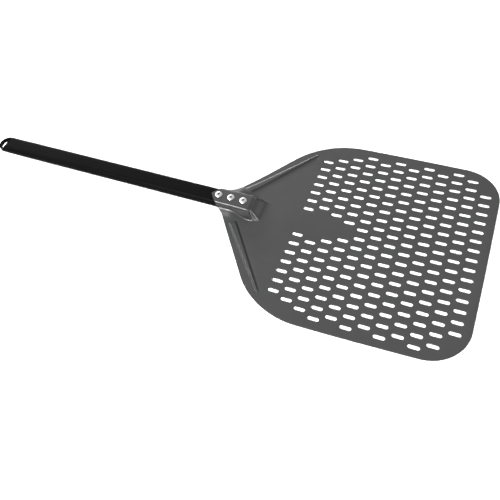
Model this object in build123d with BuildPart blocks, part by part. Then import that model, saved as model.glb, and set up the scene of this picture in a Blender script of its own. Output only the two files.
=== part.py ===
from build123d import *
import math
import os

# A perforated pizza peel: a pressed aluminium blade riveted to a flat oval tube handle,
# with a moulded cap in the far end of the tube that forms the hanging loop.
#
# Frame: millimetres. The origin is the centre of the square carrying area, on the underside
# of the blade. +X points to the front edge, +Y to the side, +Z up. The handle runs along -X
# and climbs a little, so that the peel lies on the underside of its blade.

# ---- Blade outline -------------------------------------------------------------------
carry_square = 330.0          # length and width of the square carrying area
front_bow = 1.0               # the front edge bows out by this much at its middle
front_narrowing = 7.0         # front edge and sides would meet this much inside the square's width
front_corner_radius = 54.0
side_bow = 1.5                # each long side bows out by this much
shoulder_widening = 3.0       # sides and tapers would meet this much outside the square's width
shoulder_lead = 55.5          # from there to the rear edge of the square
shoulder_radius = 120.0
neck_run = 104.5              # length of the taper along the peel
neck_width = 49.0             # width of the blank where the taper meets the tang
neck_radius = 20.0

# ---- Blade sheet ---------------------------------------------------------------------
sheet = 1.5
wing_bend_setback = 9.0       # rear edge of the square to where the sheet turns up by the tang
wing_bend_radius = 30.0
wing_angle = 13.0             # degrees, slope of the sheet beside the tang

# ---- Handle tube ---------------------------------------------------------------------
tube_width = 30.0
tube_height = 14.0
tube_side_flat = 1.0          # flat part of the tube's narrow sides, between the round corners
tube_wall = 1.5
tube_length = 447.0
tube_tilt = 2.1               # degrees, the handle climbs toward its far end
tube_front_setback = 10.5     # rear edge of the square to the tube's front end
tube_lift = 2.7               # tube above the blade's underside, at its front end

# ---- Pressed channel of the tang -----------------------------------------------------
wall_draft = 20.0             # degrees between the channel's side walls and the vertical
channel_side_clearance = 0.6  # channel wall to tube, at half the tube's height
channel_flare = 1.0           # each wall stands this much further out at the crease
crease_setback = 3.5          # rear edge of the square to the end of the channel's flat top
wall_toe_reach = 9.0          # from the crease to the foot of the steep ends of the side walls
ramp_toe_reach = 15.0         # from the crease to the foot of the ramp
ramp_crease_width = 24.0      # width of the ramp at the crease
ramp_toe_width = 36.0         # width of the ramp at its foot
wall_toe_spread = 0.7         # each wall stands this much further out at its foot
toe_step = 0.3                # walls and ramp end this far above the sheet
toe_radius = 0.1              # outside radius of the folds where they end
fold_radius = 3.0             # outside radius of the folds along the channel

# ---- Pointed end of the tang ---------------------------------------------------------
tang_shoulder_setback = 63.0   # rear edge of the square to the two corners of the tang's end
tang_point = 11.0              # the point stands this far behind those corners

# ---- Stiffening ribs -----------------------------------------------------------------
rib_height = 2.5
rib_rear_distance = 19.0      # along the taper, from the neck to the rib's blunt rear end
rib_front_distance = 147.0    # along the taper, from the neck to the rib's front tip
rib_hollow_distance = 126.0   # along the taper, from the neck to the end of the hollow below
rib_outer_inset = 5.8         # edge of the taper to the rib's outer side, at the rear
rib_outer_slant = 0.07        # the outer side comes in by this much per length
rib_inner_inset = 20.3        # edge of the taper to the rib's inner side
rib_corner_radius = 3.5       # corners of the rear end

# ---- Slots ---------------------------------------------------------------------------
slot_length = 16.0
slot_width = 5.4
slot_pitch_along = 43.3       # between slots of one row
slot_pitch_across = 16.67     # between rows whose slots stand side by side
slot_columns = 12             # counted from the front edge, half a pitch apart
slot_front_setback = 20.6     # front edge to the middle of the first column
slot_edge_margin = 10.0       # least metal between a slot and the edge of the blade
tongue_point_column = 6       # the solid tongue behind the slots comes to a point here
tongue_half_rows = 2          # half the width of the tongue, in half row pitches

# ---- Rivets --------------------------------------------------------------------------
rivet_pitch = 20.0
rivet_names = ["rear", "middle", "front"]
front_rivet_setback = 21.9    # rear edge of the square to the front rivet
rivet_head_diameter = 11.4
rivet_head_height = 1.9
rivet_dome_height = 1.6       # midway between the head's rim and its bore
rivet_rim_height = 0.6
rivet_shank_diameter = 6.4
rivet_hole_clearance = 0.1    # on the diameter
rivet_bulb_diameter = 8.8
rivet_bulb_length = 4.0
mandrel_diameter = 3.6
mandrel_recess = 1.0          # mandrel's broken end below the top of the rivet's head
mandrel_head_diameter = 5.6
mandrel_head_length = 1.6

# ---- End cap -------------------------------------------------------------------------
cap_reach = 18.0              # cap beyond the end of the tube
cap_collar = 1.5              # full section of the cap before it slopes down to the loop
cap_slope = 3.0               # length of that slope
cap_loop_height = 5.0
cap_loop_rim = 4.0            # material round the hanging slot
cap_bar = 3.5                 # material between the tube's end and the ends of the slot
cap_bar_bow = 1.2             # the tube's side of the slot bows out by this much
cap_plug_length = 24.0
cap_plug_clearance = 0.1      # plug to the inside of the tube, on each side

# ---- Places that follow from the sizes above -----------------------------------------
front_x = carry_square / 2
rear_x = -carry_square / 2
front_width = carry_square - front_narrowing
shoulder_width = carry_square + shoulder_widening
widest = shoulder_width / 2 + side_bow
shoulder_x = rear_x + shoulder_lead
neck_x = shoulder_x - neck_run
wing_bend_x = rear_x - wing_bend_setback
crease_x = rear_x - crease_setback
wall_toe_x = crease_x + wall_toe_reach
ramp_toe_x = crease_x + ramp_toe_reach
tang_shoulder_x = rear_x - tang_shoulder_setback
tang_point_x = tang_shoulder_x - tang_point
tube_front_x = rear_x - tube_front_setback
front_rivet_x = rear_x - front_rivet_setback

tube_corner_radius = (tube_height - tube_side_flat) / 2
tilt = math.radians(tube_tilt)
draft = math.radians(wall_draft)
tall = 80.0                   # taller than anything on the blade
overrun = 10.0                # how far cutting solids stand past what they cut
corner_search = 1.0           # the outline's corners are found within this distance


def tube_top_z(x):
    """Height of the tube's flat top above the blade's underside at x."""
    centre_z = tube_lift + tube_height / 2
    return centre_z + (tube_front_x - x) * math.tan(tilt) + tube_height / 2 / math.cos(tilt)


# The tube's section stands square to the handle's axis. On this plane X runs across the
# peel and Y runs up, and the normal points along the handle to its far end.
tube_front_plane = Plane(
    origin=(tube_front_x, 0, tube_lift + tube_height / 2),
    x_dir=(0, 1, 0),
    z_dir=(-math.cos(tilt), 0, math.sin(tilt)),
)
tube_end_plane = tube_front_plane.offset(tube_length)

channel_half_top = tube_width / 2 + channel_side_clearance - tube_height / 2 * math.tan(draft)


def half_width_of_channel(x, skin):
    """Half the width of the channel's flat top at x, for the tube's side or the outside."""
    flare = channel_flare * (x - tang_point_x) / (crease_x - tang_point_x)
    return channel_half_top + flare + skin / math.cos(draft) - skin * math.tan(draft)


def pressed_section(x, top, half_top, slope, radius, foot_z):
    """A flat topped section across the peel: closed, with its foot at foot_z."""
    half_foot = half_top + (top - foot_z) * slope
    with BuildSketch(Plane.YZ.offset(x)) as section:
        with BuildLine():
            Polyline(
                (-half_foot, foot_z),
                (-half_top, top),
                (half_top, top),
                (half_foot, foot_z),
                close=True,
            )
        make_face()
        fillet(section.vertices().group_by(Axis.Z)[-1], radius)
    return section.sketch


def pressed_solid(skin, radius, foot_z):
    """The channel, its steep ends and its ramp: skin is 0 inside and the sheet outside."""
    rise = skin / math.cos(tilt)
    open_end_x = tang_point_x - overrun
    crease_top = tube_top_z(crease_x) + rise
    toe_top = skin + toe_step
    draft_slope = math.tan(draft)
    with BuildPart() as solid:
        rear = pressed_section(
            open_end_x, tube_top_z(open_end_x) + rise, half_width_of_channel(open_end_x, skin),
            draft_slope, radius, foot_z,
        )
        crease = pressed_section(
            crease_x, crease_top, half_width_of_channel(crease_x, skin),
            draft_slope, radius, foot_z,
        )
        loft(sections=[rear, crease], ruled=True)
        wall_toe = pressed_section(
            wall_toe_x, toe_top, half_width_of_channel(crease_x, skin) + wall_toe_spread,
            draft_slope, toe_radius, foot_z,
        )
        loft(sections=[crease, wall_toe], ruled=True)
        ramp_crease = pressed_section(
            crease_x, crease_top, ramp_crease_width / 2 - sheet + skin,
            draft_slope, radius, foot_z,
        )
        ramp_toe = pressed_section(
            ramp_toe_x, toe_top, ramp_toe_width / 2 - sheet + skin,
            draft_slope, toe_radius, foot_z,
        )
        loft(sections=[ramp_crease, ramp_toe], ruled=True)
    return solid.part


# ---- Outline of the blank ------------------------------------------------------------
side_middle_x = (front_x + shoulder_x) / 2
side_middle_y = (front_width + shoulder_width) / 4 + side_bow

with BuildSketch(Plane.XY) as outline:
    with BuildLine():
        front = ThreePointArc(
            (front_x - front_bow, -front_width / 2),
            (front_x, 0),
            (front_x - front_bow, front_width / 2),
        )
        left = ThreePointArc(
            front @ 1,
            (side_middle_x, side_middle_y),
            (shoulder_x, shoulder_width / 2),
        )
        Polyline(
            left @ 1,
            (neck_x, neck_width / 2),
            (tang_shoulder_x, half_width_of_channel(tang_shoulder_x, sheet)),
            (tang_point_x, 0),
            (tang_shoulder_x, -half_width_of_channel(tang_shoulder_x, sheet)),
            (neck_x, -neck_width / 2),
            (shoulder_x, -shoulder_width / 2),
        )
        ThreePointArc(
            (shoulder_x, -shoulder_width / 2),
            (side_middle_x, -side_middle_y),
            front @ 0,
        )
    make_face()
    corners = outline.vertices()
    fillet(corners.group_by(Axis.X)[-1], front_corner_radius)
    at_shoulder = (shoulder_x - corner_search, shoulder_x + corner_search)
    fillet(outline.vertices().filter_by_position(Axis.X, *at_shoulder), shoulder_radius)
    at_neck = (neck_x - corner_search, neck_x + corner_search)
    fillet(outline.vertices().filter_by_position(Axis.X, *at_neck), neck_radius)

# ---- The sheet seen from the side: flat, then curled up beside the tang ----------------
wing_end_x = tang_shoulder_x + sheet
wing_slope = math.radians(wing_angle)


def side_curve(height):
    """The line at one height above the underside: flat, round the bend, then sloping up."""
    flat = Line((front_x + overrun, height), (wing_bend_x, height))
    bend = CenterArc((wing_bend_x, wing_bend_radius), wing_bend_radius - height, -90, -wing_angle)
    run = (bend @ 1).X - wing_end_x
    slope = Line(bend @ 1, bend @ 1 + Vector(-run, run * math.tan(wing_slope)))
    return flat, slope


# Plane.XZ has its normal along -Y, so that its own X and Y are the peel's X and Z.
def side_band(height):
    """What lies between the underside and a height above it, seen from the side."""
    with BuildSketch(Plane.XZ) as band:
        with BuildLine():
            under_flat, under_slope = side_curve(0)
            over_flat, over_slope = side_curve(height)
            Line(under_flat @ 0, over_flat @ 0)
            Line(under_slope @ 1, over_slope @ 1)
        make_face()
    return band.sketch



with BuildSketch(Plane.XZ) as above_underside:
    with BuildLine():
        above_flat, above_slope = side_curve(0)
        Polyline(
            above_slope @ 1,
            (tang_point_x - overrun, (above_slope @ 1).Y),
            (tang_point_x - overrun, tall),
            (front_x + overrun, tall),
            above_flat @ 0,
        )
    make_face()

# ---- Ribs: each follows the edge of the taper ------------------------------------------
taper_run = shoulder_x - neck_x
taper_rise = (shoulder_width - neck_width) / 2


def rib_solid(side, wall, front, height):
    """One rib, blunt at the rear and narrow at the front. side is 1 or -1, along Y.

    On the rib's plane X runs along the edge of the taper from the neck. wall is how far the
    rib's sides stand inside its outer skin, and height is measured from the underside.
    """
    rear = rib_rear_distance + wall
    outer_rear = -side * (rib_outer_inset + wall)
    outer_front = outer_rear - side * rib_outer_slant * (front - rear)
    inner = -side * (rib_inner_inset - wall)
    taper_plane = Plane(
        origin=(neck_x, side * neck_width / 2, 0),
        x_dir=(taper_run, side * taper_rise, 0),
        z_dir=(0, 0, 1),
    )
    with BuildPart() as rib:
        with BuildSketch(taper_plane) as footprint:
            with BuildLine():
                Polyline(
                    (rear, outer_rear),
                    (rear, inner),
                    (front, inner),
                    (front, outer_front),
                    close=True,
                )
            make_face()
            fillet(footprint.vertices().group_by(Axis.X)[0], rib_corner_radius)
        extrude(amount=tall)
        extrude(side_band(height), amount=widest, both=True, mode=Mode.INTERSECT)
    return rib.part


# ---- Slots: rows along the peel, each second row moved by half a pitch -------------------
with BuildSketch(Plane.XY) as slot_field:
    add(outline.sketch)
    offset(amount=-slot_edge_margin)
field = slot_field.sketch.face()

half_rows = math.floor(widest / (slot_pitch_across / 2))
slot_sites = []
for column in range(slot_columns):
    for half_row in range(-half_rows, half_rows + 1):
        x = front_x - slot_front_setback - column * slot_pitch_along / 2
        y = half_row * slot_pitch_across / 2
        ends = [x - slot_length / 2, x + slot_length / 2]
        sides = [y - slot_width / 2, y + slot_width / 2]
        staggered = (column + half_row) % 2 == 0
        on_tongue = abs(half_row) <= tongue_half_rows and column > tongue_point_column + abs(half_row)
        inside = all(field.is_inside(Vector(end, edge, 0)) for end in ends for edge in sides)
        if staggered and inside and not on_tongue:
            slot_sites.append((x, y))

# ---- Blade ---------------------------------------------------------------------------
outer_form = pressed_solid(sheet, fold_radius, 0)
inner_form = pressed_solid(0, fold_radius - sheet, -overrun)

with BuildPart() as trimmed_form:
    add(outer_form)
    extrude(above_underside.sketch, amount=widest, both=True, mode=Mode.INTERSECT)

with BuildPart() as blade:
    extrude(side_band(sheet), amount=widest + overrun, both=True)
    add(trimmed_form.part)
    extrude(outline.sketch, amount=tall, mode=Mode.INTERSECT)
    add(inner_form, mode=Mode.SUBTRACT)
    for side in (1, -1):
        add(rib_solid(side, 0, rib_front_distance, sheet + rib_height))
        add(rib_solid(side, sheet, rib_hollow_distance, rib_height), mode=Mode.SUBTRACT)
    with BuildSketch(Plane.XY):
        with Locations(*slot_sites):
            SlotOverall(slot_length, slot_width)
    extrude(amount=sheet, mode=Mode.SUBTRACT)

# ---- Rivet places: on the tube's top, one behind the other -------------------------------
rivet_planes = {}
for place, rivet_name in enumerate(reversed(rivet_names)):
    x = front_rivet_x - place * rivet_pitch * math.cos(tilt)
    rivet_planes[rivet_name] = Plane(
        origin=(x, 0, tube_top_z(x)),
        x_dir=(math.cos(tilt), 0, -math.sin(tilt)),
        z_dir=(math.sin(tilt), 0, math.cos(tilt)),
    )

rivet_hole_diameter = rivet_shank_diameter + rivet_hole_clearance


def drill_rivet_holes(part):
    """Bore the three rivet holes through the sheet and the upper wall of the tube."""
    with BuildPart() as drilled:
        add(part)
        for plane in rivet_planes.values():
            with BuildSketch(plane.offset(-tube_height / 2)):
                Circle(rivet_hole_diameter / 2)
            extrude(amount=tube_height, mode=Mode.SUBTRACT)
    return drilled.part


# ---- Handle tube -----------------------------------------------------------------------
with BuildPart() as handle_tube:
    with BuildSketch(tube_front_plane):
        RectangleRounded(tube_width, tube_height, tube_corner_radius)
        RectangleRounded(
            tube_width - 2 * tube_wall,
            tube_height - 2 * tube_wall,
            tube_corner_radius - tube_wall,
            mode=Mode.SUBTRACT,
        )
    extrude(amount=tube_length)

# ---- End cap: plug, collar and hanging loop ----------------------------------------------
plug_inset = tube_wall + cap_plug_clearance
loop_radius = tube_width / 2
loop_plane = Plane(
    origin=tube_end_plane.origin,
    x_dir=(-math.cos(tilt), 0, math.sin(tilt)),
    z_dir=(math.sin(tilt), 0, math.cos(tilt)),
)
with BuildPart() as end_cap:
    with BuildSketch(tube_end_plane.offset(-cap_plug_length)):
        RectangleRounded(
            tube_width - 2 * plug_inset,
            tube_height - 2 * plug_inset,
            tube_corner_radius - plug_inset,
        )
    extrude(amount=cap_plug_length)
    with BuildSketch(tube_end_plane):
        RectangleRounded(tube_width, tube_height, tube_corner_radius)
    extrude(amount=cap_reach)
    # The loop seen from above: a bow from side to side of the tube.
    with BuildSketch(loop_plane.offset(-tall / 2)):
        with BuildLine():
            bow = ThreePointArc((cap_collar, loop_radius), (cap_reach, 0), (cap_collar, -loop_radius))
            Polyline(
                bow @ 1,
                (-cap_plug_length - overrun, -loop_radius),
                (-cap_plug_length - overrun, loop_radius),
                bow @ 0,
            )
        make_face()
    extrude(amount=tall, mode=Mode.INTERSECT)
    # The cap seen from the side: full height at the collar, then down to the thin loop.
    with BuildSketch(Plane(origin=loop_plane.origin, x_dir=loop_plane.x_dir, z_dir=-loop_plane.y_dir)):
        with BuildLine():
            collar_half = tube_height / 2
            loop_half = cap_loop_height / 2
            slope_end = cap_collar + cap_slope
            Polyline(
                (-cap_plug_length, -collar_half),
                (cap_collar, -collar_half),
                (slope_end, -loop_half),
                (cap_reach, -loop_half),
                (cap_reach, loop_half),
                (slope_end, loop_half),
                (cap_collar, collar_half),
                (-cap_plug_length, collar_half),
                close=True,
            )
        make_face()
    extrude(amount=tube_width, both=True, mode=Mode.INTERSECT)
    with BuildSketch(loop_plane.offset(-tall / 2)):
        with BuildLine():
            slot_half = loop_radius - cap_loop_rim
            slot_tip = cap_reach - cap_loop_rim
            slot_bow = ThreePointArc((cap_bar, slot_half), (slot_tip, 0), (cap_bar, -slot_half))
            ThreePointArc(slot_bow @ 1, (cap_bar + cap_bar_bow, 0), slot_bow @ 0)
        make_face()
    extrude(amount=tall, mode=Mode.SUBTRACT)


# ---- Rivets ----------------------------------------------------------------------------
def rivet_body(plane):
    """A blind rivet: domed head on the sheet, shank, and bulb against the tube's wall."""
    grip = sheet + tube_wall
    bore = mandrel_diameter / 2
    head = rivet_head_diameter / 2
    shank = rivet_shank_diameter / 2
    bulb = rivet_bulb_diameter / 2
    with BuildPart() as body:
        with BuildSketch(Plane(origin=plane.origin, x_dir=plane.x_dir, z_dir=-plane.y_dir)):
            with BuildLine():
                Polyline(
                    (bore, sheet + rivet_head_height),
                    (bore, sheet - grip - rivet_bulb_length),
                    (shank, sheet - grip - rivet_bulb_length),
                    (bulb, sheet - grip - rivet_bulb_length / 2),
                    (bulb, sheet - grip),
                    (shank, sheet - grip),
                    (shank, sheet),
                    (head, sheet),
                    (head, sheet + rivet_rim_height),
                )
                ThreePointArc(
                    (head, sheet + rivet_rim_height),
                    ((head + bore) / 2, sheet + rivet_dome_height),
                    (bore, sheet + rivet_head_height),
                )
            make_face()
        revolve(axis=Axis(plane.origin, plane.z_dir))
    return body.part


def rivet_mandrel(plane):
    """The broken stem that stays in the rivet, with its head under the bulb."""
    stem = mandrel_diameter / 2
    head = mandrel_head_diameter / 2
    foot = sheet - (sheet + tube_wall) - rivet_bulb_length
    with BuildPart() as mandrel:
        with BuildSketch(Plane(origin=plane.origin, x_dir=plane.x_dir, z_dir=-plane.y_dir)):
            with BuildLine():
                Polyline(
                    (0, sheet + rivet_head_height - mandrel_recess),
                    (0, foot - mandrel_head_length),
                    (head, foot - mandrel_head_length),
                    (head, foot),
                    (stem, foot),
                    (stem, sheet + rivet_head_height - mandrel_recess),
                    close=True,
                )
            make_face()
        revolve(axis=Axis(plane.origin, plane.z_dir))
    return mandrel.part


# ---- Finished pieces -------------------------------------------------------------------
pieces = {
    "blade": drill_rivet_holes(blade.part),
    "handle_tube": drill_rivet_holes(handle_tube.part),
    "end_cap": end_cap.part,
}
for rivet_name, rivet_plane in rivet_planes.items():
    pieces[f"{rivet_name}_rivet"] = rivet_body(rivet_plane)
    pieces[f"{rivet_name}_rivet_mandrel"] = rivet_mandrel(rivet_plane)

os.makedirs("parts", exist_ok=True)
for name, piece in pieces.items():
    piece.label = name
    export_step(piece, f"parts/{name}.step")
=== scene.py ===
"""Looks of a perforated pizza peel: a pressed blade, a flat oval handle, an end cap and three blind rivets."""

import math

import bpy
import numpy as np
from mathutils import Matrix, Vector
from mathutils.geometry import delaunay_2d_cdt


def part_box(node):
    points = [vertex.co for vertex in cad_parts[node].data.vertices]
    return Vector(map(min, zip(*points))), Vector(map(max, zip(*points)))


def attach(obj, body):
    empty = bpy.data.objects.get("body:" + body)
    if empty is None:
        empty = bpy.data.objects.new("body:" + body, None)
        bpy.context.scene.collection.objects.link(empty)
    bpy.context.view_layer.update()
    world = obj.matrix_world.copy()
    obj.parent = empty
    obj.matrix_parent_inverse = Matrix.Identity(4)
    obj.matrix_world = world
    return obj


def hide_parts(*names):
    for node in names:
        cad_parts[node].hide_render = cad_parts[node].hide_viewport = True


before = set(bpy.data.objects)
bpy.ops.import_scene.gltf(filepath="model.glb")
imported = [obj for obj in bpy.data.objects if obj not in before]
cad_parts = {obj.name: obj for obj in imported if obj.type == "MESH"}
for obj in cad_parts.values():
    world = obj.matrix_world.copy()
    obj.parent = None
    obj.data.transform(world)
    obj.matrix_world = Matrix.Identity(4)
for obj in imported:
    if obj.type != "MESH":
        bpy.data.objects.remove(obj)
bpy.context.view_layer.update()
MM = 0.001

# ---- Sizes in millimetres, taken from the frame where it has them ---------------------------
blade_low, blade_high = [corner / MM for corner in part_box("blade")]
tube_low, tube_high = [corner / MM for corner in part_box("handle_tube")]

FRONT_X = blade_high.x
SHEET = 1.5
TILT = math.radians(2.1)
TUBE_WIDTH = tube_high.y - tube_low.y
TUBE_HEIGHT = 14.0
TUBE_FRONT_X = FRONT_X - 340.5
TUBE_LIFT = 2.7
DRAFT = math.tan(math.radians(20.0))

SHOULDER_X, SHOULDER_HALF = FRONT_X - 274.5, 166.5
NECK_X, NECK_HALF = FRONT_X - 379.0, 24.5
TANG_X, POINT_X = FRONT_X - 393.0, FRONT_X - 404.0
CREASE_X = FRONT_X - 334.5


def smooth_max(a, b, k):
    return 0.5 * (a + b + np.sqrt((a - b) ** 2 + k * k))


def smooth_min(a, b, k):
    return 0.5 * (a + b - np.sqrt((a - b) ** 2 + k * k))


def smooth_step(t):
    t = np.clip(t, 0.0, 1.0)
    return t * t * (3.0 - 2.0 * t)


def tube_top(x):
    """Height of the tube's flat top."""
    climb = (TUBE_FRONT_X - x) * math.tan(TILT)
    return TUBE_LIFT + TUBE_HEIGHT / 2 + climb + TUBE_HEIGHT / 2 / math.cos(TILT)


SIDE_CLEARANCE = 0.6
CHANNEL_HALF = TUBE_WIDTH / 2 + SIDE_CLEARANCE - TUBE_HEIGHT / 2 * DRAFT


def channel_half(x):
    """Half width of the channel's flat top on the outside."""
    flare = (x - POINT_X) / (CREASE_X - POINT_X)
    return CHANNEL_HALF + flare + SHEET / math.cos(math.atan(DRAFT)) - SHEET * DRAFT


# ---- The sheet's upper face, as a height over the plane -------------------------------------
TAPER_RUN = SHOULDER_X - NECK_X
TAPER_RISE = SHOULDER_HALF - NECK_HALF
TAPER_LENGTH = math.hypot(TAPER_RUN, TAPER_RISE)
ALONG = (TAPER_RUN / TAPER_LENGTH, TAPER_RISE / TAPER_LENGTH)

RIB_HEIGHT = 2.5
RIB_REAR, RIB_FRONT = 20.0, 147.0
RIB_OUTER_REAR, RIB_OUTER_SLOPE = 6.9, 0.065
RIB_INNER = 17.4
RIB_RAMP = 1.5
RIB_REAR_RISE, RIB_FRONT_RISE = 0.4, 0.3
RIB_SIDE_BLEND, RIB_END_BLEND = 0.6, 1.2
DIP_DEPTH, DIP_OFFSET, DIP_WIDTH = 0.45, 2.4, 1.3
DIP_REAR_RUN, DIP_FRONT_REACH, DIP_FRONT_RUN = 8.0, 4.0, 10.0


def along_taper(x, y):
    """Distance along the taper from the neck, and distance inward from its edge."""
    dx, dy = x - NECK_X, np.abs(y) - NECK_HALF
    return dx * ALONG[0] + dy * ALONG[1], dx * ALONG[1] - dy * ALONG[0]


def rib(x, y):
    """Height that a rib adds: wide at the rear, narrow at the front, with a dip beside it."""
    s, inset = along_taper(x, y)
    outer = inset - (RIB_OUTER_REAR + RIB_OUTER_SLOPE * (s - RIB_REAR))
    inner = RIB_INNER - inset
    side = smooth_min(outer, inner, RIB_SIDE_BLEND)
    ends = smooth_min(RIB_REAR_RISE * (s - RIB_REAR), RIB_FRONT_RISE * (RIB_FRONT - s), RIB_SIDE_BLEND)
    rise = smooth_min(side, ends, RIB_END_BLEND)
    up = smooth_step((rise + RIB_RAMP) / (2 * RIB_RAMP))
    beside = np.exp(-(((inset - RIB_INNER - DIP_OFFSET) / DIP_WIDTH) ** 2))
    rear_fade = smooth_step((s - RIB_REAR) / DIP_REAR_RUN)
    front_fade = smooth_step((RIB_FRONT + DIP_FRONT_REACH - s) / DIP_FRONT_RUN)
    return RIB_HEIGHT * up - DIP_DEPTH * (beside * rear_fade * front_fade)


# The rear of the sheet stands a little above the plane, and rises further beside the channel.
LIFT, LIFT_FRONT, LIFT_RUN = 0.5, -60.0, 40.0
WING_HEIGHT, WING_FRONT, WING_RUN = 9.2, -172.0, 33.0
WING_INNER, WING_SPREAD = 17.0, 13.0


def wing(x, y):
    """Height that the sheet gains beside the channel, where it curls up round the tube."""
    beside = np.maximum(np.abs(y) - WING_INNER, 0.0)
    return WING_HEIGHT * smooth_step((WING_FRONT - x) / WING_RUN) / (1.0 + (beside / WING_SPREAD) ** 2.0)


# A steep end or the ramp has a height at a place along X, and falls forward from there.
END_HEIGHT, END_X, END_FALL = 18.0, -174.5, 1.75
RAMP_HEIGHT, RAMP_X, RAMP_FALL = 18.2, -172.0, 0.93
RAMP_HALF, RAMP_HALF_X, RAMP_WIDENING, RAMP_SIDE_FALL = 12.6, -168.0, 0.36, 1.5
FOLD_BLEND, END_BLEND, CREASE_BLEND, RAMP_BLEND, GROOVE_BLEND, FOOT_BLEND = 4.2, 1.6, 5.0, 0.8, 0.4, 3.4


def channel(x, y):
    """The pressed channel with its steep ends, and the ramp in front of it."""
    across = np.abs(y)
    top = tube_top(x) + SHEET / math.cos(TILT)
    wall = top - (across - channel_half(x)) / DRAFT
    end = END_HEIGHT - END_FALL * (x - END_X)
    body = smooth_min(smooth_min(top, wall, FOLD_BLEND), end, END_BLEND)
    slope_top = RAMP_HEIGHT - RAMP_FALL * (x - RAMP_X)
    ramp_top = smooth_min(slope_top, top, CREASE_BLEND)
    ramp_edge = RAMP_HALF + RAMP_WIDENING * (x - RAMP_HALF_X)
    ramp = smooth_min(ramp_top, ramp_top - (across - ramp_edge) * RAMP_SIDE_FALL, RAMP_BLEND)
    return smooth_max(body, ramp, GROOVE_BLEND)


def height(x, y):
    """Height of the upper face."""
    base = SHEET + LIFT * smooth_step((LIFT_FRONT - x) / LIFT_RUN) + wing(x, y) + rib(x, y)
    return smooth_max(base, channel(x, y), FOOT_BLEND)


def surface(points):
    """Places on the upper face and the normals there, for an array of x, y in millimetres."""
    x, y = points[:, 0], points[:, 1]
    step = 0.05
    z = height(x, y)
    slope_x = (height(x + step, y) - height(x - step, y)) / (2 * step)
    slope_y = (height(x, y + step) - height(x, y - step)) / (2 * step)
    normal = np.stack([-slope_x, -slope_y, np.ones_like(z)], 1)
    normal /= np.linalg.norm(normal, axis=1, keepdims=True)
    return np.stack([x, y, z], 1), normal


# ---- Outline of the blank ---------------------------------------------------------------------
def round_corners(points, radii, spacing=1.5):
    """A closed polygon with each corner rounded, as points about spacing apart."""
    count = len(points)
    spans = []
    for i in range(count):
        here = Vector(points[i])
        before = (Vector(points[i - 1]) - here).normalized()
        after = (Vector(points[(i + 1) % count]) - here).normalized()
        half = 0.5 * before.angle(after)
        radius = radii[i]
        if radius <= 0:
            spans.append([here])
            continue
        reach = radius / math.tan(half)
        centre = here + (before + after).normalized() * (radius / math.sin(half))
        start, end = here + before * reach, here + after * reach
        turn = math.pi - 2 * half
        steps = max(3, int(math.ceil(radius * turn / spacing)))
        a, b = start - centre, end - centre
        arc = []
        for k in range(steps + 1):
            t = k / steps
            w0, w1 = math.sin((1 - t) * turn) / math.sin(turn), math.sin(t * turn) / math.sin(turn)
            arc.append(centre + a * w0 + b * w1)
        spans.append(arc)
    out = []
    for i, span in enumerate(spans):
        out.extend(span)
        gap_start, gap_end = span[-1], spans[(i + 1) % count][0]
        length = (gap_end - gap_start).length
        steps = int(length / spacing)
        for k in range(1, steps):
            out.append(gap_start.lerp(gap_end, k / steps))
    return [(p.x, p.y) for p in out]


FRONT_HALF, SIDE_BOW, FRONT_BOW = 161.5, 1.5, 1.0
FRONT_BOW_START, FRONT_BOW_RUN = 60.0, 55.0
SIDE_BOW_START, SIDE_BOW_RUN = 60.0, 90.0
WIDTH_MARGIN = 0.01
tang_half = float(channel_half(TANG_X))
corners = [
    (FRONT_X - FRONT_BOW, -FRONT_HALF), (FRONT_X - FRONT_BOW, FRONT_HALF), (SHOULDER_X, SHOULDER_HALF),
    (NECK_X, NECK_HALF), (TANG_X, tang_half), (POINT_X, 0.0), (TANG_X, -tang_half),
    (NECK_X, -NECK_HALF), (SHOULDER_X, -SHOULDER_HALF),
]
radii = [54.0, 54.0, 120.0, 20.0, 0.8, 0.8, 0.8, 20.0, 120.0]


def bowed(point):
    """The blank's front and sides bow out a little between their corners."""
    x, y = point
    if x > FRONT_X - FRONT_BOW_START:
        share = smooth_step((x - FRONT_X + FRONT_BOW_START) / FRONT_BOW_RUN)
        x += FRONT_BOW * max(0.0, 1.0 - (y / FRONT_HALF) ** 2) * share
    part = (x - SHOULDER_X) / (FRONT_X - SHOULDER_X)
    if 0.0 < part < 1.0:
        share = smooth_step((abs(y) - SIDE_BOW_START) / SIDE_BOW_RUN)
        y += math.copysign(SIDE_BOW * math.sin(math.pi * part) * share, y)
    return (float(x), float(y))


outline = [bowed(p) for p in round_corners(corners, radii)]
widest = max(p[1] for p in outline)
if widest > blade_high.y:
    outline = [(x, y * (blade_high.y - WIDTH_MARGIN) / widest) for x, y in outline]

# ---- Slots and rivet holes ---------------------------------------------------------------------
SLOT_LENGTH, SLOT_WIDTH = 16.0, 5.4
PITCH_ALONG, PITCH_ACROSS = 43.3, 16.67
COLUMNS, FIRST_COLUMN = 12, 20.6
EDGE_MARGIN, TONGUE_COLUMN, TONGUE_HALF_ROWS, HALF_ROWS = 10.0, 6, 2, 20
RIVET_HOLE_RADIUS = 3.25


def inside_by(x, y, margin):
    """Whether a point is inside the outline by a margin."""
    best = math.inf
    winding = False
    count = len(outline)
    for i in range(count):
        ax, ay = outline[i]
        bx, by = outline[(i + 1) % count]
        if (ay > y) != (by > y) and x < (bx - ax) * (y - ay) / (by - ay) + ax:
            winding = not winding
        dx, dy = bx - ax, by - ay
        t = min(1.0, max(0.0, ((x - ax) * dx + (y - ay) * dy) / (dx * dx + dy * dy)))
        best = min(best, math.hypot(x - ax - t * dx, y - ay - t * dy))
    return winding and best > margin


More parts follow.
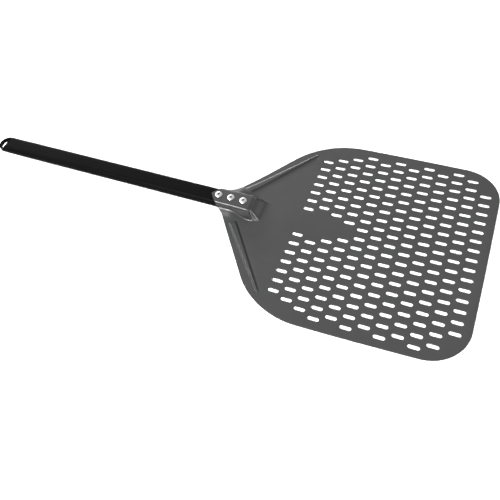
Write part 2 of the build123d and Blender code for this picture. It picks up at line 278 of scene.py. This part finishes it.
slots = []
for column in range(COLUMNS):
    for half_row in range(-HALF_ROWS, HALF_ROWS + 1):
        x = FRONT_X - FIRST_COLUMN - column * PITCH_ALONG / 2
        y = half_row * PITCH_ACROSS / 2
        on_tongue = abs(half_row) <= TONGUE_HALF_ROWS and column > TONGUE_COLUMN + abs(half_row)
        if (column + half_row) % 2 or on_tongue:
            continue
        ends = [(x + i * SLOT_LENGTH / 2, y + j * SLOT_WIDTH / 2) for i in (-1, 1) for j in (-1, 1)]
        if all(inside_by(px, py, EDGE_MARGIN) for px, py in ends):
            slots.append((x, y))


def slot_loop(x, y, steps=7):
    """A slot's outline: straight sides and round ends."""
    r = SLOT_WIDTH / 2
    straight = (SLOT_LENGTH - SLOT_WIDTH) / 2
    loop = []
    for cx, start in ((straight, -90.0), (-straight, 90.0)):
        for k in range(steps + 1):
            a = math.radians(start + 180.0 * k / steps)
            loop.append((x + cx + r * math.cos(a), y + r * math.sin(a)))
    return loop


rivet_names = ("rear_rivet", "middle_rivet", "front_rivet")
rivet_xs = []
for name in rivet_names:
    low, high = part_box(name)
    rivet_xs.append((Vector(((low.x + high.x) / 2, 0.0, high.z)) / MM).x)


def circle_loop(x, y, r, steps=28):
    """A rivet hole's outline."""
    return [(x + r * math.cos(2 * math.pi * k / steps), y + r * math.sin(2 * math.pi * k / steps))
            for k in range(steps)]


# ---- The blade: one formed sheet with an upper face, a lower face and rounded rims -----------
RIM = 0.3
RIM_STEPS = 3


def inward(loop, distance):
    """A loop moved to its left by a distance, and the unit directions to its right."""
    p = np.array(loop)
    before, after = np.roll(p, 1, 0), np.roll(p, -1, 0)
    d1, d2 = p - before, after - p
    d1 /= np.linalg.norm(d1, axis=1, keepdims=True)
    d2 /= np.linalg.norm(d2, axis=1, keepdims=True)
    n1 = np.stack([-d1[:, 1], d1[:, 0]], 1)
    n2 = np.stack([-d2[:, 1], d2[:, 0]], 1)
    n = n1 + n2
    n /= np.linalg.norm(n, axis=1, keepdims=True)
    scale = 1.0 / np.clip((n * n1).sum(1, keepdims=True), 0.5, 1.0)
    return p + n * scale * distance, -n * scale


loops = [outline]
loops += [list(reversed(slot_loop(x, y))) for x, y in slots]
loops += [list(reversed(circle_loop(x, 0.0, RIVET_HOLE_RADIUS))) for x in rivet_xs]

rim_points = []
rim_out = []
ranges = []
cursor = 0
for loop in loops:
    inner, out = inward(loop, RIM)
    rim_points.append(inner)
    rim_out.append(out)
    ranges.append((cursor, cursor + len(loop)))
    cursor += len(loop)
rim_points = np.concatenate(rim_points)
rim_out = np.concatenate(rim_out)

outline_array = np.array(outline)


def well_inside(points, margin):
    """Which of many points lie inside the outline by a margin."""
    a = outline_array
    b = np.roll(a, -1, 0)
    d = b - a
    x, y = points[:, :1], points[:, 1:]
    rise = np.where(d[:, 1] == 0, 1e-12, d[:, 1])
    crossing = ((a[:, 1] > y) != (b[:, 1] > y)) & (x < d[:, 0] * (y - a[:, 1]) / rise + a[:, 0])
    inside = crossing.sum(1) % 2 == 1
    t = np.clip(((x - a[:, 0]) * d[:, 0] + (y - a[:, 1]) * d[:, 1]) / (d ** 2).sum(1), 0, 1)
    gap = np.hypot(x - a[:, 0] - t * d[:, 0], y - a[:, 1] - t * d[:, 1]).min(1)
    return inside & (gap > margin)


def grid(x0, x1, dx, y0, y1, dy):
    """Points in rows, each second row moved by half a step."""
    gx, gy = np.meshgrid(np.arange(x0, x1 + 1e-9, dx), np.arange(y0, y1 + 1e-9, dy), indexing="ij")
    gx = gx + (np.arange(gx.shape[1]) % 2)[None, :] * dx * 0.5
    return np.stack([gx.ravel(), gy.ravel()], 1)


def away_from_channel(points):
    return points[~((np.abs(points[:, 1]) < 27.0) & (points[:, 0] < -145.0))]


def clear_of_ribs(points):
    s, inset = along_taper(points[:, 0], points[:, 1])
    return (s < RIB_REAR - 6) | (s > RIB_FRONT + 5) | (inset < 1.5) | (inset > 26.0)


def clear_of_slots(points, margin):
    clear = np.ones(len(points), bool)
    for sx, sy in slots:
        dx, dy = np.abs(points[:, 0] - sx), np.abs(points[:, 1] - sy)
        clear &= ~((dx < SLOT_LENGTH / 2 + margin) & (dy < SLOT_WIDTH / 2 + margin))
    return clear


# Points are close together at the channel and along the ribs, and far apart where it's flat.
GRID_HALF = 165.0
fine = grid(POINT_X, -146.0, 1.0, -26.0, 26.0, 0.65)
coarse = away_from_channel(grid(POINT_X, -96.0, 2.6, -GRID_HALF, GRID_HALF, 2.6))
rib_places = np.arange(RIB_REAR - 5, RIB_FRONT + 4, 1.8)
rib_s, rib_i = np.meshgrid(rib_places, np.arange(2.5, 25.0, 0.75), indexing="ij")
rib_x = NECK_X + rib_s.ravel() * ALONG[0] + rib_i.ravel() * ALONG[1]
rib_y = NECK_HALF + rib_s.ravel() * ALONG[1] - rib_i.ravel() * ALONG[0]
rib_grid = np.concatenate([np.stack([rib_x, rib_y], 1), np.stack([rib_x, -rib_y], 1)])
rib_grid = away_from_channel(rib_grid)
coarse = coarse[clear_of_ribs(coarse)]
flat = grid(-95.0, FRONT_X, 12.0, -GRID_HALF, GRID_HALF, 12.0)
flat = flat[clear_of_slots(flat, 1.2)]
free = np.concatenate([fine, coarse, rib_grid, flat])
free = free[well_inside(free, 0.75)]
apart = clear_of_slots(free, 1.0)
for x in rivet_xs:
    apart &= np.hypot(free[:, 0] - x, free[:, 1]) > RIVET_HOLE_RADIUS + 0.7
free = free[apart]

flat_points = np.concatenate([rim_points, free])
faces_in = [list(range(*ranges[0]))] + [list(range(b - 1, a - 1, -1)) for a, b in ranges[1:]]
made = delaunay_2d_cdt([Vector(p) for p in flat_points], [], faces_in, 1, 1e-5, True)
made_faces, origin_verts, origin_faces = made[2], made[3], made[5]
index_of = [v[0] if v else -1 for v in origin_verts]
triangles = [
    [index_of[i] for i in face]
    for face, origin in zip(made_faces, origin_faces)
    if origin and list(origin) == [0]
]
if min(min(t) for t in triangles) < 0:
    raise RuntimeError("the sheet's triangles need a point that isn't there")

upper, normals = surface(flat_points)
lower = upper - SHEET * normals
edge_upper, edge_normal = upper[:cursor], normals[:cursor]
out3 = np.concatenate([rim_out, np.zeros((cursor, 1))], 1)
out3 -= (out3 * edge_normal).sum(1, keepdims=True) * edge_normal
rings = []
for k in range(1, RIM_STEPS + 1):
    a = math.pi / 2 * k / RIM_STEPS
    rings.append(edge_upper + RIM * (math.sin(a) * out3 - (1 - math.cos(a)) * edge_normal))
for k in range(RIM_STEPS, 0, -1):
    a = math.pi / 2 * k / RIM_STEPS
    rings.append(edge_upper + RIM * math.sin(a) * out3 - (SHEET - RIM * (1 - math.cos(a))) * edge_normal)
total = len(flat_points)
verts = np.concatenate([upper, lower] + rings)
polygons = [tuple(t) for t in triangles]
polygons += [tuple(i + total for i in reversed(t)) for t in triangles]
layer_starts = [0] + [2 * total + r * cursor for r in range(len(rings))] + [total]
for a, b in ranges:
    for i in range(a, b):
        j = i + 1 if i + 1 < b else a
        for top_start, low_start in zip(layer_starts[:-1], layer_starts[1:]):
            polygons.append((top_start + i, low_start + i, low_start + j, top_start + j))


def mesh_object(name, verts_mm, polygons, replaced):
    """A smooth mesh that rides on the root and takes the place of a CAD node."""
    data = bpy.data.meshes.new(name)
    data.from_pydata((np.asarray(verts_mm) * MM).tolist(), [], polygons)
    data.validate()
    data.update()
    obj = bpy.data.objects.new(name, data)
    bpy.context.scene.collection.objects.link(obj)
    data.polygons.foreach_set("use_smooth", [True] * len(data.polygons))
    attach(obj, "root")
    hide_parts(replaced)
    return obj


blade = mesh_object("blade_sheet", verts, polygons, "blade")


# ---- Materials -----------------------------------------------------------------------------------
class Nodes:
    """A small helper that builds one node material."""

    def __init__(self, name):
        self.material = bpy.data.materials.new(name)
        self.material.use_nodes = True
        self.tree = self.material.node_tree
        self.tree.nodes.clear()
        self.output = self.add("ShaderNodeOutputMaterial")
        self.shader = self.add("ShaderNodeBsdfPrincipled")
        self.link(self.shader, "BSDF", self.output, "Surface")
        self.place = self.add("ShaderNodeTexCoord")

    def add(self, kind):
        return self.tree.nodes.new(kind)

    def link(self, a, a_socket, b, b_socket):
        self.tree.links.new(a.outputs[a_socket], b.inputs[b_socket])

    def noise(self, scale, detail=3.0, rough=0.5, stretch=(1.0, 1.0, 1.0)):
        mapping = self.add("ShaderNodeMapping")
        mapping.inputs["Scale"].default_value = stretch
        self.link(self.place, "Object", mapping, "Vector")
        node = self.add("ShaderNodeTexNoise")
        node.inputs["Scale"].default_value = scale
        node.inputs["Detail"].default_value = detail
        node.inputs["Roughness"].default_value = rough
        self.link(mapping, "Vector", node, "Vector")
        return node

    def ramp(self, source, socket, stops):
        """Two colours, each at its position."""
        node = self.add("ShaderNodeValToRGB")
        for element, (position, colour) in zip(node.color_ramp.elements, stops):
            element.position = position
            element.color = (*colour, 1.0)
        self.link(source, socket, node, "Fac")
        return node

    def remap(self, source, socket, low, high, from_low=0.0, from_high=1.0):
        node = self.add("ShaderNodeMapRange")
        node.inputs["From Min"].default_value = from_low
        node.inputs["From Max"].default_value = from_high
        node.inputs["To Min"].default_value = low
        node.inputs["To Max"].default_value = high
        self.link(source, socket, node, "Value")
        return node

    def bump(self, source, socket, strength, distance, chained=None):
        node = self.add("ShaderNodeBump")
        node.inputs["Strength"].default_value = strength
        node.inputs["Distance"].default_value = distance
        self.link(source, socket, node, "Height")
        if chained:
            self.link(chained, "Normal", node, "Normal")
        return node


def grey(value, tint=0.0):
    return (value, value, value * (1.0 + tint))


def anodised(name, dark, light, rough_low, rough_high, gloss, rolled):
    """Hard anodised aluminium: cloudy grey, fine matt grain, faint rolling lines."""
    n = Nodes(name)
    cloud = n.noise(9.0, 4.0, 0.55)
    colour = n.ramp(cloud, "Fac", [(0.3, grey(dark, 0.02)), (0.7, grey(light, 0.02))])
    n.link(colour, "Color", n.shader, "Base Color")
    lines = n.noise(220.0, 3.0, 0.6, rolled)
    rough = n.remap(lines, "Fac", rough_low, rough_high, 0.3, 0.7)
    n.link(rough, "Result", n.shader, "Roughness")
    grain = n.noise(2600.0, 2.0, 0.6)
    fine_bump = n.bump(grain, "Fac", 0.08, 0.0001)
    line_bump = n.bump(lines, "Fac", 0.03, 0.0001, fine_bump)
    n.link(line_bump, "Normal", n.shader, "Normal")
    n.shader.inputs["IOR"].default_value = 1.5
    n.shader.inputs["Specular IOR Level"].default_value = gloss
    return n.material


sheet_material = anodised("anodised_sheet", 0.016, 0.021, 0.28, 0.36, 0.5, rolled=(0.3, 1.0, 1.0))
tube_material = anodised("anodised_tube", 0.0022, 0.003, 0.36, 0.44, 0.016, rolled=(0.1, 1.0, 1.0))


def moulded(name):
    """Glossy black moulded plastic with faint flow marks."""
    n = Nodes(name)
    cloud = n.noise(30.0, 3.0, 0.5)
    colour = n.ramp(cloud, "Fac", [(0.3, grey(0.001)), (0.7, grey(0.002))])
    n.link(colour, "Color", n.shader, "Base Color")
    rough = n.remap(cloud, "Fac", 0.16, 0.26, 0.3, 0.7)
    n.link(rough, "Result", n.shader, "Roughness")
    skin = n.noise(900.0, 2.0, 0.5)
    bump = n.bump(skin, "Fac", 0.05, 0.0002)
    n.link(bump, "Normal", n.shader, "Normal")
    n.shader.inputs["Specular IOR Level"].default_value = 0.016
    return n.material


def bright_metal(name, dark, light, rough_low, rough_high, scale):
    """Bare metal with turning marks and small stains."""
    n = Nodes(name)
    cloud = n.noise(scale, 5.0, 0.65)
    colour = n.ramp(cloud, "Fac", [(0.3, grey(dark, 0.01)), (0.65, grey(light, 0.01))])
    n.link(colour, "Color", n.shader, "Base Color")
    rough = n.remap(cloud, "Fac", rough_high, rough_low, 0.3, 0.7)
    n.link(rough, "Result", n.shader, "Roughness")
    marks = n.noise(1500.0, 2.0, 0.5)
    bump = n.bump(marks, "Fac", 0.1, 0.0002)
    n.link(bump, "Normal", n.shader, "Normal")
    n.shader.inputs["Metallic"].default_value = 1.0
    return n.material


cap_material = moulded("cap_plastic")
rivet_material = bright_metal("rivet_metal", 0.42, 0.55, 0.3, 0.42, 300.0)
mandrel_material = bright_metal("mandrel_steel", 0.01, 0.03, 0.4, 0.6, 500.0)


def wear(obj, material):
    """Give an object this material and no other."""
    obj.data.materials.clear()
    obj.data.materials.append(material)


wear(blade, sheet_material)
wear(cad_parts["handle_tube"], tube_material)
wear(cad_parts["end_cap"], cap_material)
for name in rivet_names:
    wear(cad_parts[name], rivet_material)
    wear(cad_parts[name + "_mandrel"], mandrel_material)

# ---- Floor, light and camera ---------------------------------------------------------------------
scene = bpy.context.scene
floor_mesh = bpy.data.meshes.new("floor")
FLOOR_HALF, FLOOR_STEPS, FLOOR_Z, FLOOR_SHIFT = 3.0, 24, -0.0002, 0.2
ticks = np.linspace(-FLOOR_HALF, FLOOR_HALF, FLOOR_STEPS + 1)
floor_verts = [(x - FLOOR_SHIFT, y, FLOOR_Z) for x in ticks for y in ticks]
row = FLOOR_STEPS + 1
floor_faces = [(i * row + j, (i + 1) * row + j, (i + 1) * row + j + 1, i * row + j + 1)
               for i in range(FLOOR_STEPS) for j in range(FLOOR_STEPS)]
floor_mesh.from_pydata(floor_verts, [], floor_faces)
floor = bpy.data.objects.new("floor", floor_mesh)
scene.collection.objects.link(floor)
n = Nodes("pale_floor")
paper = n.noise(3.0, 2.0, 0.5)
tone = n.ramp(paper, "Fac", [(0.3, (0.93, 0.93, 0.93)), (0.7, (0.95, 0.95, 0.95))])
n.link(tone, "Color", n.shader, "Base Color")
n.shader.inputs["Roughness"].default_value = 0.8
floor_mesh.materials.append(n.material)

world = bpy.data.worlds.new("studio")
scene.world = world
world.use_nodes = True
sky_nodes = world.node_tree.nodes
sky_place = sky_nodes.new("ShaderNodeTexCoord")
sky_dot = sky_nodes.new("ShaderNodeVectorMath")
sky_dot.operation = "DOT_PRODUCT"
sky_dot.inputs[1].default_value = (-0.1, 0.45, 0.887)
sky_tone = sky_nodes.new("ShaderNodeMapRange")
sky_tone.interpolation_type = "SMOOTHSTEP"
world.node_tree.links.new(sky_place.outputs["Generated"], sky_dot.inputs[0])
world.node_tree.links.new(sky_dot.outputs["Value"], sky_tone.inputs["Value"])
world.node_tree.links.new(sky_tone.outputs["Result"], sky_nodes["Background"].inputs["Strength"])
sky_tone.inputs["From Min"].default_value = 0.57
sky_tone.inputs["From Max"].default_value = 0.97
sky_tone.inputs["To Min"].default_value = 0.2
sky_tone.inputs["To Max"].default_value = 1.15
sky_nodes["Background"].inputs["Color"].default_value = (1.0, 1.0, 1.0, 1.0)


def area(name, place, target, size, watts):
    """A soft panel that faces its target."""
    data = bpy.data.lights.new(name, "AREA")
    data.shape = "RECTANGLE"
    data.size, data.size_y = size
    data.energy = watts
    lamp = bpy.data.objects.new(name, data)
    scene.collection.objects.link(lamp)
    lamp.location = place
    lamp.rotation_euler = (Vector(target) - Vector(place)).to_track_quat("-Z", "Y").to_euler()
    return lamp


middle = Vector((-0.1, 0.0, 0.0))
area("key_near_left", middle + 2.2 * Vector((-0.36, -0.53, 0.77)), middle, (0.5, 0.5), 70.0)
area("key_near_right", middle + 2.2 * Vector((0.27, -0.75, 0.55)), middle, (0.5, 0.5), 40.0)
area("side_left", middle + 2.3 * Vector((-0.85, 0.0, 0.5)), middle, (0.5, 0.5), 16.0)
area("rim_far_left", middle + Vector((-1.8, 1.9, 0.65)), middle, (1.8, 0.5), 52.0)
area("fill_far_right", middle + 2.4 * Vector((0.76, 0.6, 0.25)), middle, (0.9, 0.6), 12.0)

camera_data = bpy.data.cameras.new("camera")
camera = bpy.data.objects.new("camera", camera_data)
scene.collection.objects.link(camera)
right = Vector((0.920881, 0.370903, -0.120039)).normalized()
up = Vector((-0.234669, 0.773276, 0.589045))
up = (up - up.dot(right) * right).normalized()
back = right.cross(up)
camera.matrix_world = Matrix((
    (right.x, up.x, back.x, 0.1109),
    (right.y, up.y, back.y, -0.5011),
    (right.z, up.z, back.z, 0.6697),
    (0.0, 0.0, 0.0, 1.0),
))
camera_data.sensor_width = 36.0
camera_data.lens = 41.95
scene.camera = camera
scene.view_settings.view_transform = "Standard"

bpy.context.view_layer.update()
